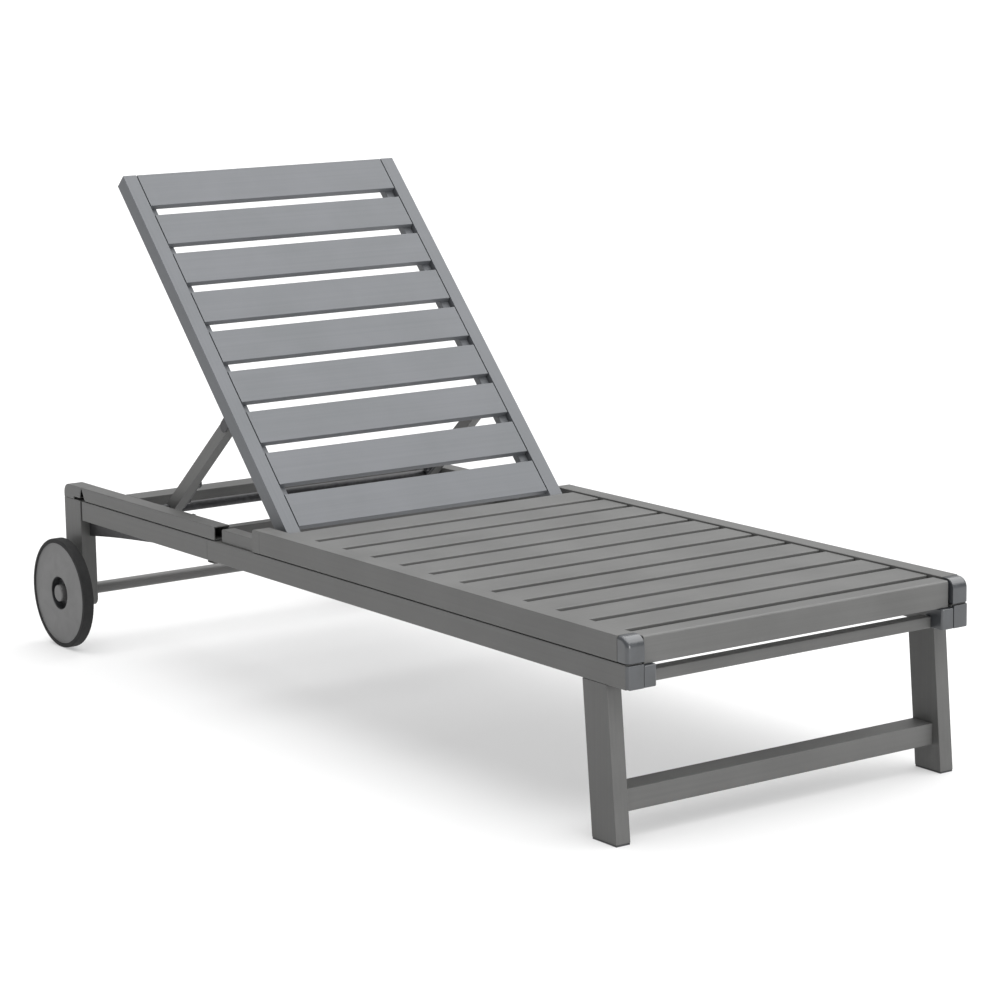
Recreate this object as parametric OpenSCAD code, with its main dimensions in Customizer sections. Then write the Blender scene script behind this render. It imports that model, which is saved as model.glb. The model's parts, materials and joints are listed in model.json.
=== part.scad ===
// Reclining sun lounger: slatted seat and back on a powder-coated aluminium frame,
// two wheels at the head end, two splayed legs at the foot end, and a propped back.
// X runs from the wheels to the foot end, Y to the side, Z up, in millimetres.
// The origin is on the ground, under the middle of the object's overall box.

/* [Overall] */
// Length from the back of the wheels to the foot end
overall_len = 1884; // [1560:4:2280]
// Width over the side rails
frame_w = 700; // [580:2:850]
// Height of the seat surface above the ground
deck_h = 331; // [276:1:400]
// Length of the seat's side rails
seat_len = 1097; // [900:1:1330]

/* [Rails] */
// Width of the lower rails
rail_w = 32.5; // [27:0.5:39]
// Depth of the lower rails
rail_h = 39; // [32:1:48]
// Width of the seat's side rails
seat_rail_w = 34; // [28.5:0.5:41]
// Height of the seat rail's top above the seat slats
rail_lip = 3; // [2:0.5:6]
// Thickness of the gap between the seat surface and the lower rail's top
seat_rail_drop = 40; // [34:1:50]
// Height of the rear upper rails
rear_rail_h = 27; // [22:1:33]
// Wall of the rail and leg extrusions
tube_wall = 2; // [1.5:0.1:3]
// Length of the moulded caps on the seat rails' ends
cap_len = 26; // [20:1:34]
// Nose radius of the moulded foot caps
cap_nose_r = 18; // [12:1:20]
// Distance from the seat rail's rear end to the rear rail's open mouth
connector_run = 133; // [105:1:165]
// Length of the open mouth ahead of the rear rail
mouth_len = 19; // [10:1:24]
// Distance of the lower rail's splice behind the seat rail's rear end
splice_back = 161; // [140:1:200]

/* [Legs] */
// Width of the rear legs along the object
rear_leg_w = 66; // [54:1:80]
// Thickness of the rear legs
rear_leg_t = 31.5; // [26:0.5:38]
// Distance of the rear legs' back face behind the axle
rear_leg_back = 40; // [34:1:50]
// Length of the front legs' section along the object
front_leg_w = 62; // [52:1:76]
// Thickness of the front legs
front_leg_t = 28; // [23:1:34]
// Distance of the front legs' top behind the foot end
front_leg_back = 52.5; // [44:0.5:64]
// Distance that a front leg's foot stands ahead of its top
front_leg_splay = 21; // [10:1:26]
// Height of the front stretcher's underside
stretcher_z = 46; // [38:1:56]
// Height of the front stretcher's section
stretcher_h = 36; // [30:1:44]
// Width of the front stretcher's section
stretcher_w = 48; // [40:1:58]
// Distance of the front stretcher's face behind the legs' front faces
stretcher_inset = 15; // [12:0.5:18]

/* [Seat slats] */
// Gap between neighbouring seat slats
seat_gap = 17; // [14:0.5:20]
// Thickness of a slat
slat_t = 12.5; // [10:0.5:15]
// Distance of the first slat's rear edge ahead of the seat rail's rear end
seat_slat_start = 64; // [58:0.5:77]
// Depth of the foot apron along the object
apron_len = 45; // [37.5:0.5:54]

/* [Backrest] */
// Length of the backrest from its pivot to its top
back_len = 824.4; // [688:0.2:990]
// Angle of the backrest above flat, in the pose that is drawn
back_angle = 47; // [30:1:60]
// Width of the back's side stiles
stile_w = 27.6; // [23:0.1:33]
// Depth of the back's side stiles
stile_d = 31; // [26:0.5:37]
// Gap between the back's stiles and the seat rails
stile_clear = 12.4; // [10:0.1:15]
// Gap between neighbouring back slats
back_gap = 22; // [18:0.5:26]
// Width of the top back slat
top_slat_w = 75; // [62:1:90]
// Distance of the stiles' pivot ahead of the seat rail's rear end
pivot_ahead = 36.7; // [30:0.1:44]
// Distance of the lowest slat's edge above the pivot
back_slat_start = 12.8; // [12:0.1:18]

/* [Prop] */
// Distance up the stile from the back's pivot to the prop's pivot
prop_up = 269.8; // [225:0.1:300]
// Distance of the prop's pivot behind the stiles
prop_behind = 14; // [13:0.1:17]
// Length of a prop arm from its pivot to the cross tube
prop_len = 286.5; // [270:0.5:340]
// Depth of a prop arm
prop_d = 24; // [20:0.5:24.5]
// Thickness of a prop arm
prop_w = 20; // [16:0.5:20]
// Diameter of the prop's cross tube
prop_tube_d = 18; // [15:0.5:19]
// Height of the resting cross tube's centre above the lower rails
prop_rest_up = 17; // [14:0.5:19]
// Degrees that the prop folds for each degree that the back turns
prop_ratio = 1.65; // [1.6:0.01:1.7]
// Clearance between the cross tube and the rack's teeth
rack_clear = 0.6; // [0.4:0.1:1]

/* [Wheels] */
// Diameter of a wheel over its tyre
wheel_d = 216; // [180:2:260]
// Width of a tyre
tyre_w = 22; // [18:1:27]
// Height of the tyre's section
tyre_h = 8.5; // [7:0.5:12]
// Diameter of the recess around the hub
hub_recess_d = 66; // [55:1:78]
// Length of the spacer between a wheel and its leg
spacer_len = 20; // [16:1:24]
// Diameter of the axle bar between the legs
axle_d = 23; // [19:1:28]
// Diameter of the axle's turned ends
axle_end_d = 14; // [12:0.5:17]
// Radial running clearance of the wheels and pivots
run_clear = 0.05; // [0.02:0.01:0.1]

/* [Hidden] */
SEAT_SLATS = 11;
BACK_SLATS = 9;
SIDES = ["left", "right"];

$fn = 48;
// Small overlap that makes a cut break cleanly through a face
eps = 0.5;
// Hairline left where two extrusions butt together
joint_gap = 0.4;

// Heights
rail_top = deck_h - seat_rail_drop;
rail_bot = rail_top - rail_h;
seat_top = deck_h + rail_lip;
rear_top = rail_top + rear_rail_h;

// Lengths along X
foot_x = overall_len / 2;
axle_x = -overall_len / 2 + wheel_d / 2;
axle_z = wheel_d / 2;
leg_back_x = axle_x - rear_leg_back;
leg_front_x = leg_back_x + rear_leg_w;
seat_rear_x = foot_x - seat_len;
mouth_x = seat_rear_x - connector_run;
splice_x = seat_rear_x - splice_back;
connector_x = mouth_x + mouth_len;

// Half widths along Y
side_y = frame_w / 2;
rail_in_y = side_y - rail_w;
seat_in_y = side_y - seat_rail_w;
stile_out_y = seat_in_y - stile_clear;
stile_in_y = stile_out_y - stile_w;
slat_fit = 0.1;

// Backrest pivot, at mid-depth of the stiles, and the prop's pivot behind them
pivot_x = seat_rear_x + pivot_ahead;
pivot_z = deck_h - stile_d / 2;
prop_back = stile_d / 2 + prop_behind;
function pivot_at(turn) = let (a = back_angle + turn)
    [pivot_x - prop_up * cos(a) - prop_back * sin(a), pivot_z + prop_up * sin(a) - prop_back * cos(a)];
tube_rest_z = rail_top + prop_rest_up;
prop_slope = asin((pivot_at(0)[1] - tube_rest_z) / prop_len);
// Centre of the prop's cross tube when the back has turned by this angle from the drawn pose
function tube_at(turn) = let (b = prop_slope + (prop_ratio - 1) * turn)
    pivot_at(turn) - prop_len * [cos(b), sin(b)];
// Turn of the back from the drawn pose to its steepest
back_up = 18;
tube_end_gap = 0.5;
tube_reach = rail_in_y - tube_end_gap;

// Seat slats and back slats fill the lengths that they are given
apron_back = 8;
apron_x = foot_x - apron_back;
seat_slat_x0 = seat_rear_x + seat_slat_start;
seat_pitch = (apron_x - apron_len - seat_slat_x0) / SEAT_SLATS;
back_pitch = (back_len - back_slat_start - top_slat_w) / (BACK_SLATS - 1);
batten_w = 18;

// Fasteners
pivot_d = 10;
hinge_pin_d = 8;
screw_d = 5;
screw_head_d = 10;
screw_head_h = 1.5;
screw_up = 8;

PAINT = "#737374";
SLAT = "#8a8a88";
BACK = "#8f9093";
MOULD = "#6a6c70";
STEEL = "#4a4a4b";
RUBBER = "#1d1d1e";

// 1 for the left side (+Y), -1 for the right
function side(s) = s == "left" ? 1 : -1;

// Box from one corner to the other
module box(lo, hi) {
    translate(lo) cube(hi - lo);
}

// Hollow extrusion along X, as box(), with open ends
module tube_x(lo, hi, wall = tube_wall) {
    difference() {
        box(lo, hi);
        box([lo.x - eps, lo.y + wall, lo.z + wall], [hi.x + eps, hi.y - wall, hi.z - wall]);
    }
}

// Hollow extrusion along Y, as box(), with open ends
module tube_y(lo, hi, wall = tube_wall) {
    difference() {
        box(lo, hi);
        box([lo.x + wall, lo.y - eps, lo.z + wall], [hi.x - wall, hi.y + eps, hi.z - wall]);
    }
}

// Upright cylinder laid along Y from y0 to y1
module rod_y(d, y0, y1, x = 0, z = 0) {
    translate([x, y1, z]) rotate([90, 0, 0]) cylinder(d = d, h = y1 - y0);
}

// Draws its children on the left side, or mirrored on the right
module on_side(s) {
    if (side(s) > 0) children();
    else mirror([0, 1, 0]) children();
}

// Draws its children on both sides
module both_sides() {
    for (s = SIDES) on_side(s) children();
}

// Profile in X and Z pushed from y0 to y1
module push_y(y0, y1) {
    translate([0, y1, 0]) rotate([90, 0, 0]) linear_extrude(y1 - y0) children();
}

// Frame ------------------------------------------------------------------------------------

lower_rear_x = leg_front_x + joint_gap;
plate_t = 6;
lower_end_x = foot_x - plate_t;

module lower_rail_rear() {
    color(PAINT) difference() {
        tube_x([lower_rear_x, rail_in_y, rail_bot], [splice_x - joint_gap / 2, side_y, rail_top]);
        rack_screw_shanks(rail_in_y - eps, rail_in_y + tube_wall + eps);
    }
}

module lower_rail_front() {
    color(PAINT) tube_x([splice_x + joint_gap / 2, rail_in_y, rail_bot], [lower_end_x, side_y, rail_top]);
}

// Seat rail, its inner wall bored for the back's pivot pin
module seat_rail() {
    color(PAINT) difference() {
        tube_x([seat_rear_x + cap_len, seat_in_y, rail_top], [foot_x - cap_len, side_y, seat_top]);
        rod_y(pivot_d, seat_in_y - eps, seat_in_y + tube_wall + eps, pivot_x, pivot_z);
    }
}

// The joint of the cap and the rear rail is a wedge: closed at the top, open at the bottom
wedge_ahead = 6;
wedge_top_x = leg_front_x + wedge_ahead;
wedge_run = 8;
wedge_web = 1;

// Rear rail, its rear end cut to a slant
module rear_rail() {
    color(PAINT) difference() {
        tube_x([leg_front_x, rail_in_y, rail_top], [mouth_x, side_y, rear_top]);
        push_y(rail_in_y - eps, side_y + eps)
            polygon([[leg_front_x - eps, rail_top - eps], [wedge_top_x + wedge_run, rail_top - eps],
                [wedge_top_x + joint_gap, rear_top + eps], [leg_front_x - eps, rear_top + eps]]);
    }
}

// Outline of a cap seen from the side: x0 to x1 and z0 to z1, with one top corner rounded
module cap_outline(x0, x1, z0, z1, r, foot) {
    cx = foot ? x1 - r : x0 + r;
    difference() {
        translate([x0, z0]) square([x1 - x0, z1 - z0]);
        difference() {
            translate([foot ? cx : x0 - eps, z1 - r]) square(r + eps);
            translate([cx, z1 - r]) circle(r);
        }
    }
}

rear_cap_r = 18;
seat_cap_r = 8;
// Shallow slot in the joint of each rear leg and its cap
slot_back = 12;
slot_len = 33;
slot_h = 2.5;

module rail_end_caps() {
    color(MOULD) both_sides() {
        push_y(rail_in_y, side_y) difference() {
            cap_outline(leg_back_x, wedge_top_x, rail_top, rear_top, rear_cap_r, false);
            translate([axle_x - slot_back, rail_top - eps]) square([slot_len, slot_h + eps]);
            polygon([[leg_front_x, rail_top - eps], [wedge_top_x + eps, rail_top - eps],
                [wedge_top_x + eps, rear_top - wedge_web], [wedge_top_x, rear_top - wedge_web]]);
        }
        push_y(seat_in_y, side_y)
            cap_outline(seat_rear_x, seat_rear_x + cap_len, rail_top, seat_top, seat_cap_r, false);
        push_y(seat_in_y, side_y)
            cap_outline(foot_x - cap_len, foot_x, rail_top, seat_top, cap_nose_r, true);
    }
}

block_in = 25;
block_len = 39;
// Distance of the corner blocks' and end plates' tops below the lower rails' top
block_drop = 4.6;
plate_drop = 1.5;

// End plate of the lower rail in one moulding with the block that carries the cross rail
module foot_corner_blocks() {
    seam = 0.8;
    chamfer = 5;
    color(MOULD) both_sides() difference() {
        union() {
            box([lower_end_x, rail_in_y, rail_bot], [foot_x, side_y, rail_top - plate_drop]);
            translate([0, 0, rail_bot]) linear_extrude(rail_h - block_drop)
                polygon([[foot_x - block_len, rail_in_y - block_in], [foot_x - chamfer, rail_in_y - block_in],
                    [foot_x, rail_in_y - block_in + chamfer], [foot_x, rail_in_y],
                    [foot_x - block_len, rail_in_y]]);
        }
        box([foot_x - seam, rail_in_y, rail_bot - eps], [foot_x + eps, rail_in_y + seam, rail_top]);
    }
}

// Upper connector between the rear rail's mouth and the seat rail, and the splice sleeves inside
module rail_connectors() {
    inset = 5;
    low = 3;
    sleeve = 60;
    play = 0.3;
    color(MOULD) both_sides() {
        box([connector_x, rail_in_y, rail_top], [seat_rear_x - joint_gap, side_y - inset, rear_top - low]);
        tube_x([splice_x - sleeve, rail_in_y + tube_wall + play, rail_bot + tube_wall + play],
            [splice_x + sleeve, side_y - tube_wall - play, rail_top - tube_wall - play]);
    }
}

brace_t = 14;
brace_drop = 33;
brace_run = 330;

// Cast gusset under each lower rail ahead of the rear leg, its lower edge a shallow curve
module corner_braces() {
    steps = 12;
    edge = [for (i = [0:steps]) let (f = i / steps)
        [leg_front_x + joint_gap + brace_run * f,
            rail_bot - brace_drop * (1 - f) * (1 - 0.1 * sin(180 * f))]];
    color(STEEL) both_sides() push_y(rail_in_y, rail_in_y + brace_t)
        polygon(concat(edge, [[leg_front_x + joint_gap, rail_bot]]));
}

// Angle ledgers on the seat rails' inner faces that carry the slats' ends
module slat_ledgers() {
    ledge = 14;
    leaf = 2.5;
    swing_room = 12;
    x0 = pivot_x + stile_d + swing_room;
    x1 = apron_x - apron_len;
    z1 = deck_h - slat_t;
    color(PAINT) both_sides() {
        box([x0, seat_in_y - ledge, z1 - leaf], [x1, seat_in_y, z1]);
        box([x0, seat_in_y - leaf, rail_top], [x1, seat_in_y, z1 - leaf]);
    }
}

rack_t = 3.5;
screw_xs = [for (dx = [-50, 0, 50, 95]) tube_at(0).x + dx];
rack_steps = 20;
rack_from = -18;
notch_turns = [-15, -7.5, 0, 8, 16];

// Point of the rack's edge: the tube's path, moved down by its radius and the clearance
function rack_edge(turn) = let (p = tube_at(turn), q = tube_at(turn + 0.5), d = (q - p) / norm(q - p))
    p + (prop_tube_d / 2 + rack_clear) * [d.y, -d.x];

// Notched plate on each rear rail's inner face, under the path of the prop's cross tube
module prop_racks() {
    notch_drop = 2.5;
    stop_w = 9;
    top = [for (i = [0:rack_steps]) rack_edge(rack_from + (back_up - rack_from) * i / rack_steps)];
    last = tube_at(back_up).x + prop_tube_d / 2 + 2 * rack_clear;
    color(STEEL) both_sides() push_y(rail_in_y - rack_t, rail_in_y) difference() {
        polygon(concat(top, [[last, top[rack_steps].y], [last, rear_top], [last + stop_w, rear_top],
            [last + stop_w, rail_bot], [top[0].x, rail_bot]]));
        for (t = notch_turns)
            translate(tube_at(t) - [0, notch_drop]) circle(prop_tube_d / 2 + rack_clear);
        for (x = screw_xs) translate([x, rail_bot + screw_up]) circle(d = screw_d);
    }
}

rear_leg_below = 30;
rear_leg_bot = axle_z - rear_leg_below;

// Rear leg with the axle's seat bored through both walls
module rear_leg() {
    color(PAINT) difference() {
        union() {
            box([leg_back_x, side_y - rear_leg_t, rear_leg_bot + rear_leg_w / 4],
                [leg_front_x, side_y, rail_top]);
            push_y(side_y - rear_leg_t, side_y)
                polygon([[leg_back_x, rear_leg_bot + rear_leg_w / 4],
                    [leg_back_x + rear_leg_w / 4, rear_leg_bot],
                    [leg_front_x - rear_leg_w / 4, rear_leg_bot],
                    [leg_front_x, rear_leg_bot + rear_leg_w / 4]]);
        }
        box([leg_back_x + tube_wall, side_y - rear_leg_t + tube_wall, rear_leg_bot + rear_leg_w / 4],
            [leg_front_x - tube_wall, side_y - tube_wall, rail_top + eps]);
        box([axle_x - slot_back, side_y - rear_leg_t - eps, rail_top - slot_h],
            [axle_x - slot_back + slot_len, side_y + eps, rail_top + eps]);
        rod_y(axle_end_d, side_y - rear_leg_t - eps, side_y + eps, axle_x, axle_z);
    }
}

// X of the front leg's back edge at a height
leg_top_x = foot_x - front_leg_back - front_leg_w;
function leg_x(z) = leg_top_x + front_leg_splay * (rail_bot - z) / rail_bot;

module leg_outline(inset = 0, z0 = 0, z1 = 0) {
    polygon([[leg_x(z0) + inset, z0], [leg_x(z0) + front_leg_w - inset, z0],
        [leg_x(z1) + front_leg_w - inset, z1], [leg_x(z1) + inset, z1]]);
}

module front_leg() {
    sole = 6;
    color(PAINT) difference() {
        push_y(side_y - front_leg_t, side_y) leg_outline(0, 0, rail_bot);
        push_y(side_y - front_leg_t + tube_wall, side_y - tube_wall)
            leg_outline(tube_wall, sole, rail_bot + eps);
    }
}

module front_stretcher() {
    x1 = leg_x(stretcher_z + stretcher_h / 2) + front_leg_w - stretcher_inset;
    reach = side_y - front_leg_t;
    color(PAINT) tube_y([x1 - stretcher_w, -reach, stretcher_z], [x1, reach, stretcher_z + stretcher_h]);
}

// Low rail between the corner blocks, behind the apron
module foot_cross_rail() {
    depth = 24;
    height = 19;
    face_back = 27;
    x1 = foot_x - face_back;
    reach = rail_in_y - block_in;
    color(PAINT) tube_y([x1 - depth, -reach, rail_bot], [x1, reach, rail_bot + height]);
}

nose_r = 5;
fascia_gap = 0.6;

// Last slat and fascia in one extrusion with an eased nose, its lower edge just over the corner blocks
module foot_apron() {
    fascia = deck_h - (rail_top - block_drop) - fascia_gap;
    skin = 3;
    x0 = apron_x - apron_len + seat_gap / 2;
    x1 = apron_x;
    color(SLAT) push_y(-seat_in_y + slat_fit, seat_in_y - slat_fit) difference() {
        union() {
            translate([x0, deck_h - slat_t]) square([x1 - nose_r - x0, slat_t]);
            translate([x1 - nose_r, deck_h - nose_r]) circle(nose_r);
            translate([x1 - slat_t, deck_h - fascia]) square([slat_t, fascia - nose_r]);
        }
        translate([x0 + skin, deck_h - slat_t + skin])
            square([x1 - nose_r - x0 - skin, slat_t - 2 * skin]);
        translate([x1 - slat_t + skin, deck_h - fascia + skin])
            square([slat_t - 2 * skin, fascia - nose_r - 2 * skin]);
    }
}

rear_cross_w = 53;
rear_cross_h = 20;
rear_cross_ahead = 127;
rear_cross_x = leg_front_x + rear_cross_ahead;

module rear_cross_rail() {
    color(PAINT) tube_y([rear_cross_x, -rail_in_y, rear_top - rear_cross_h],
        [rear_cross_x + rear_cross_w, rail_in_y, rear_top]);
}

middle_cross_t = 24;
middle_cross_back = 79;
middle_cross_below = 17;
middle_cross_above = 9;

// Deep rail across the frame near the splices, standing under and over the lower rails
module middle_cross_rail() {
    x1 = connector_x - middle_cross_back;
    color(PAINT) tube_y([x1 - middle_cross_t, -rail_in_y, rail_bot - middle_cross_below],
        [x1, rail_in_y, rail_top + middle_cross_above]);
}

// Seat slat number i, counted from the back
module seat_slat(i) {
    skin = 1.5;
    x0 = seat_slat_x0 + seat_pitch * (i - 1) + (i == 1 ? 0 : seat_gap / 2);
    x1 = seat_slat_x0 + seat_pitch * i - seat_gap / 2;
    color(SLAT) tube_y([x0, -seat_in_y + slat_fit, deck_h - slat_t],
        [x1, seat_in_y - slat_fit, deck_h], skin);
}

// Wheels and axle --------------------------------------------------------------------------

wheel_in_y = side_y + spacer_len;
wheel_out_y = wheel_in_y + tyre_w;
nut_proud = 1;
disc_inset = 1.5;
hub_floor = 10;
side_play = 0.3;
// Length of the axle's end that a nut holds
nut_grip = 4;

// Axle bar between the legs with turned ends that carry the wheels
module axle() {
    end_y = wheel_in_y + side_play + hub_floor + nut_grip;
    color(STEEL) {
        rod_y(axle_d, -side_y + rear_leg_t, side_y - rear_leg_t, axle_x, axle_z);
        both_sides() rod_y(axle_end_d, side_y - rear_leg_t, end_y, axle_x, axle_z);
    }
}

// Spacers between the legs and the wheels
module axle_spacers() {
    spacer_d = 32;
    color(PAINT) both_sides() difference() {
        rod_y(spacer_d, side_y, wheel_in_y, axle_x, axle_z);
        rod_y(axle_end_d, side_y - eps, wheel_in_y + eps, axle_x, axle_z);
    }
}

// Round nuts on the axle's ends, standing in the discs' recesses
module hub_nuts() {
    nut_d = 30;
    y0 = wheel_in_y + side_play + hub_floor + side_play;
    color(PAINT) both_sides() difference() {
        rod_y(nut_d, y0, wheel_out_y + nut_proud, axle_x, axle_z);
        rod_y(axle_end_d, y0 - eps, wheel_in_y + side_play + hub_floor + nut_grip, axle_x, axle_z);
    }
}

// Moulded disc with a recess around the hub, turned about the axle
module wheel_disc() {
    rim_r = wheel_d / 2 - tyre_h;
    y0 = wheel_in_y + side_play;
    y1 = wheel_out_y - disc_inset;
    color(PAINT) translate([axle_x, 0, axle_z]) rotate([-90, 0, 0]) rotate_extrude()
        polygon([[axle_end_d / 2 + run_clear, y0], [rim_r, y0 + disc_inset], [rim_r, y1 - 1],
            [rim_r - 1, y1], [hub_recess_d / 2 + 1.5, y1], [hub_recess_d / 2, y1 - 1.5],
            [hub_recess_d / 2, y0 + hub_floor], [axle_end_d / 2 + run_clear, y0 + hub_floor]]);
}

// Rubber band around the disc, its shoulders rounded off
module tyre() {
    rim_r = wheel_d / 2 - tyre_h;
    shoulder = 3;
    y0 = wheel_in_y + side_play;
    color(RUBBER) translate([axle_x, 0, axle_z]) rotate([-90, 0, 0]) rotate_extrude($fn = 96)
        polygon([[rim_r, y0], [wheel_d / 2 - shoulder, y0], [wheel_d / 2, y0 + shoulder],
            [wheel_d / 2, wheel_out_y - shoulder], [wheel_d / 2 - shoulder, wheel_out_y],
            [rim_r, wheel_out_y]]);
}

// Fasteners of the frame -------------------------------------------------------------------

// Rack screws, in line along the lower rail, their shanks in the rack and the rail's wall
module rack_screw_shanks(y0, y1) {
    for (x = screw_xs) rod_y(screw_d, y0, y1, x, rail_bot + screw_up);
}

module rack_screws() {
    tip = 8;
    color(STEEL) both_sides() {
        rack_screw_shanks(rail_in_y - rack_t, rail_in_y + tube_wall + tip);
        for (x = screw_xs)
            rod_y(screw_head_d, rail_in_y - rack_t - screw_head_h, rail_in_y - rack_t,
                x, rail_bot + screw_up);
    }
}

// Pins that carry the back's stiles in the seat rails, each with a low head inside and a collar
// that keeps the stile off the rail
module pivot_bolts() {
    head_d = 15;
    head_t = 3;
    head_gap = 0.3;
    color(STEEL) both_sides() {
        rod_y(pivot_d, stile_in_y - head_gap, side_y - tube_wall - eps, pivot_x, pivot_z);
        rod_y(head_d, stile_in_y - head_gap - head_t, stile_in_y - head_gap, pivot_x, pivot_z);
        rod_y(head_d, stile_out_y + head_gap, seat_in_y, pivot_x, pivot_z);
    }
}

// Backrest, drawn flat with its pivot at the origin and then raised ------------------------

module on_back() {
    translate([pivot_x, 0, pivot_z]) rotate([0, back_angle, 0]) children();
}

module back_stile() {
    end_r = stile_d / 2;
    color(BACK) on_back() difference() {
        union() {
            box([-back_len, stile_in_y, -end_r], [0, stile_out_y, end_r]);
            rod_y(stile_d, stile_in_y, stile_out_y);
        }
        box([-back_len + tube_wall, stile_in_y + tube_wall, -end_r + tube_wall],
            [-end_r - 4, stile_out_y - tube_wall, end_r - tube_wall]);
        rod_y(pivot_d + 2 * run_clear, stile_in_y - eps, stile_out_y + eps);
    }
}

// Back slat number i, counted from the bottom
module back_slat(i) {
    skin = 1.5;
    s0 = back_slat_start + back_pitch * (i - 1);
    w = i == BACK_SLATS ? top_slat_w : back_pitch - back_gap;
    color(BACK) on_back() tube_y([-s0 - w, -stile_in_y, stile_d / 2 - slat_t],
        [-s0, stile_in_y, stile_d / 2], skin);
}

// Battens behind the slats, along the stiles' inner faces
module back_battens() {
    start = 24;
    finish = 12;
    front_free = 3;
    color(BACK) on_back() both_sides()
        box([-back_len + finish, stile_in_y - batten_w, -stile_d / 2 + front_free],
            [-start, stile_in_y, stile_d / 2 - slat_t]);
}

cheek_t = 2.1;
cheek_gap = 0.3;
cheek_inset = 0.2;
arm_mid_y = stile_out_y - cheek_inset - cheek_t - cheek_gap - prop_w / 2;

// Brackets behind the stiles, each two cheeks and a base, with the prop's hinge pin
module prop_hinges() {
    cheek_r = 11;
    half = prop_w / 2 + cheek_gap;
    color(STEEL) on_back() both_sides() translate([-prop_up, arm_mid_y, -prop_back]) {
        for (y0 = [-half - cheek_t, half]) difference() {
            union() {
                rod_y(2 * cheek_r, y0, y0 + cheek_t);
                box([-cheek_r, y0, 0], [cheek_r, y0 + cheek_t, prop_behind]);
            }
            rod_y(hinge_pin_d, y0 - eps, y0 + cheek_t + eps);
        }
        rod_y(hinge_pin_d, -half - cheek_t, half + cheek_t);
    }
}

// Prop, drawn along -X from its pivot and then set to its slope ----------------------------

module on_prop() {
    translate([pivot_at(0).x, 0, pivot_at(0).y]) rotate([0, -prop_slope, 0]) children();
}

module prop_arm() {
    y0 = arm_mid_y - prop_w / 2;
    y1 = arm_mid_y + prop_w / 2;
    solid_end = 18;
    color(PAINT) on_prop() difference() {
        union() {
            box([-prop_len, y0, -prop_d / 2], [0, y1, prop_d / 2]);
            rod_y(prop_d, y0, y1);
            rod_y(prop_d, y0, y1, -prop_len);
        }
        box([-prop_len + solid_end, y0 + tube_wall, -prop_d / 2 + tube_wall],
            [-solid_end, y1 - tube_wall, prop_d / 2 - tube_wall]);
        rod_y(hinge_pin_d + 2 * run_clear, y0 - eps, y1 + eps);
        rod_y(prop_tube_d, y0 - eps, y1 + eps, -prop_len);
    }
}

module prop_cross_tube() {
    wall = 1.5;
    color(STEEL) on_prop() difference() {
        rod_y(prop_tube_d, -tube_reach, tube_reach, -prop_len);
        rod_y(prop_tube_d - 2 * wall, -tube_reach - eps, tube_reach + eps, -prop_len);
    }
}

// Moulded shoes on the arms' inner faces, each with two round bosses
module prop_shoes() {
    shoe_t = 5;
    boss_h = 7;
    y1 = arm_mid_y - prop_w / 2;
    from = 188;
    bosses = [201, 256];
    color(STEEL) on_prop() both_sides() {
        box([-prop_len + prop_tube_d / 2 + 4, y1 - shoe_t, -prop_d / 2 + 1], [-from, y1, prop_d / 2 - 1]);
        for (s = bosses) rod_y(prop_d - 4, y1 - shoe_t - boss_h, y1 - shoe_t, -s);
    }
}

// One sub-part for each line ----------------------------------------------------------------

for (s = SIDES) {
    on_side(s) lower_rail_rear();
    on_side(s) lower_rail_front();
    on_side(s) seat_rail();
    on_side(s) rear_rail();
    on_side(s) rear_leg();
    on_side(s) front_leg();
    on_side(s) wheel_disc();
    on_side(s) tyre();
    on_side(s) back_stile();
    on_side(s) prop_arm();
}
for (i = [1:SEAT_SLATS])
    seat_slat(i);
for (i = [1:BACK_SLATS])
    back_slat(i);
rail_end_caps();
foot_corner_blocks();
rail_connectors();
corner_braces();
slat_ledgers();
prop_racks();
front_stretcher();
foot_cross_rail();
foot_apron();
rear_cross_rail();
middle_cross_rail();
axle();
axle_spacers();
hub_nuts();
rack_screws();
pivot_bolts();
back_battens();
prop_hinges();
prop_cross_tube();
prop_shoes();
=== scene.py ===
import json
import math

import bmesh
import bpy
from mathutils import Matrix, Vector


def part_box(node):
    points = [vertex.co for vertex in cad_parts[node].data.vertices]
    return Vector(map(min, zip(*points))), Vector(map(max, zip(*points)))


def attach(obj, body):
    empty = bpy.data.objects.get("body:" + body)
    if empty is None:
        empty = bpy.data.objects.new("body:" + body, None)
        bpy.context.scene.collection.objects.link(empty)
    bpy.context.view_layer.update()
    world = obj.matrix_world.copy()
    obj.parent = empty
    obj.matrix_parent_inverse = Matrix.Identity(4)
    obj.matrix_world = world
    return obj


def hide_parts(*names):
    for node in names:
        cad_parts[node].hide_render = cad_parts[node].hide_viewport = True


# Reclining sun lounger in grey powder-coated aluminium extrusions, with moulded caps and
# rubber-tyred wheels. Lengths are in metres, X to the foot end, Y to the left, Z up.
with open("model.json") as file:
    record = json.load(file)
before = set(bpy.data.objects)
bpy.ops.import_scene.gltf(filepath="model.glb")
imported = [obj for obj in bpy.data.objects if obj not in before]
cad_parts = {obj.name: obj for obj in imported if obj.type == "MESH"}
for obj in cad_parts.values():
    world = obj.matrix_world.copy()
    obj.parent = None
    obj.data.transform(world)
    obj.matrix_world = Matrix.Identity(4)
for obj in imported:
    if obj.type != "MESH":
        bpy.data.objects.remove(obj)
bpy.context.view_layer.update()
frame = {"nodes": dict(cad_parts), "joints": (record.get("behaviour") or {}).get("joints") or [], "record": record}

MM = 0.001
X, Y, Z = 0, 1, 2
SIDES = ("left", "right")
BODY = {node: body for body, nodes in frame["record"]["behaviour"]["bodies"].items() for node in nodes}
JOINTS = {joint["name"]: joint for joint in frame["joints"]}

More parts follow.
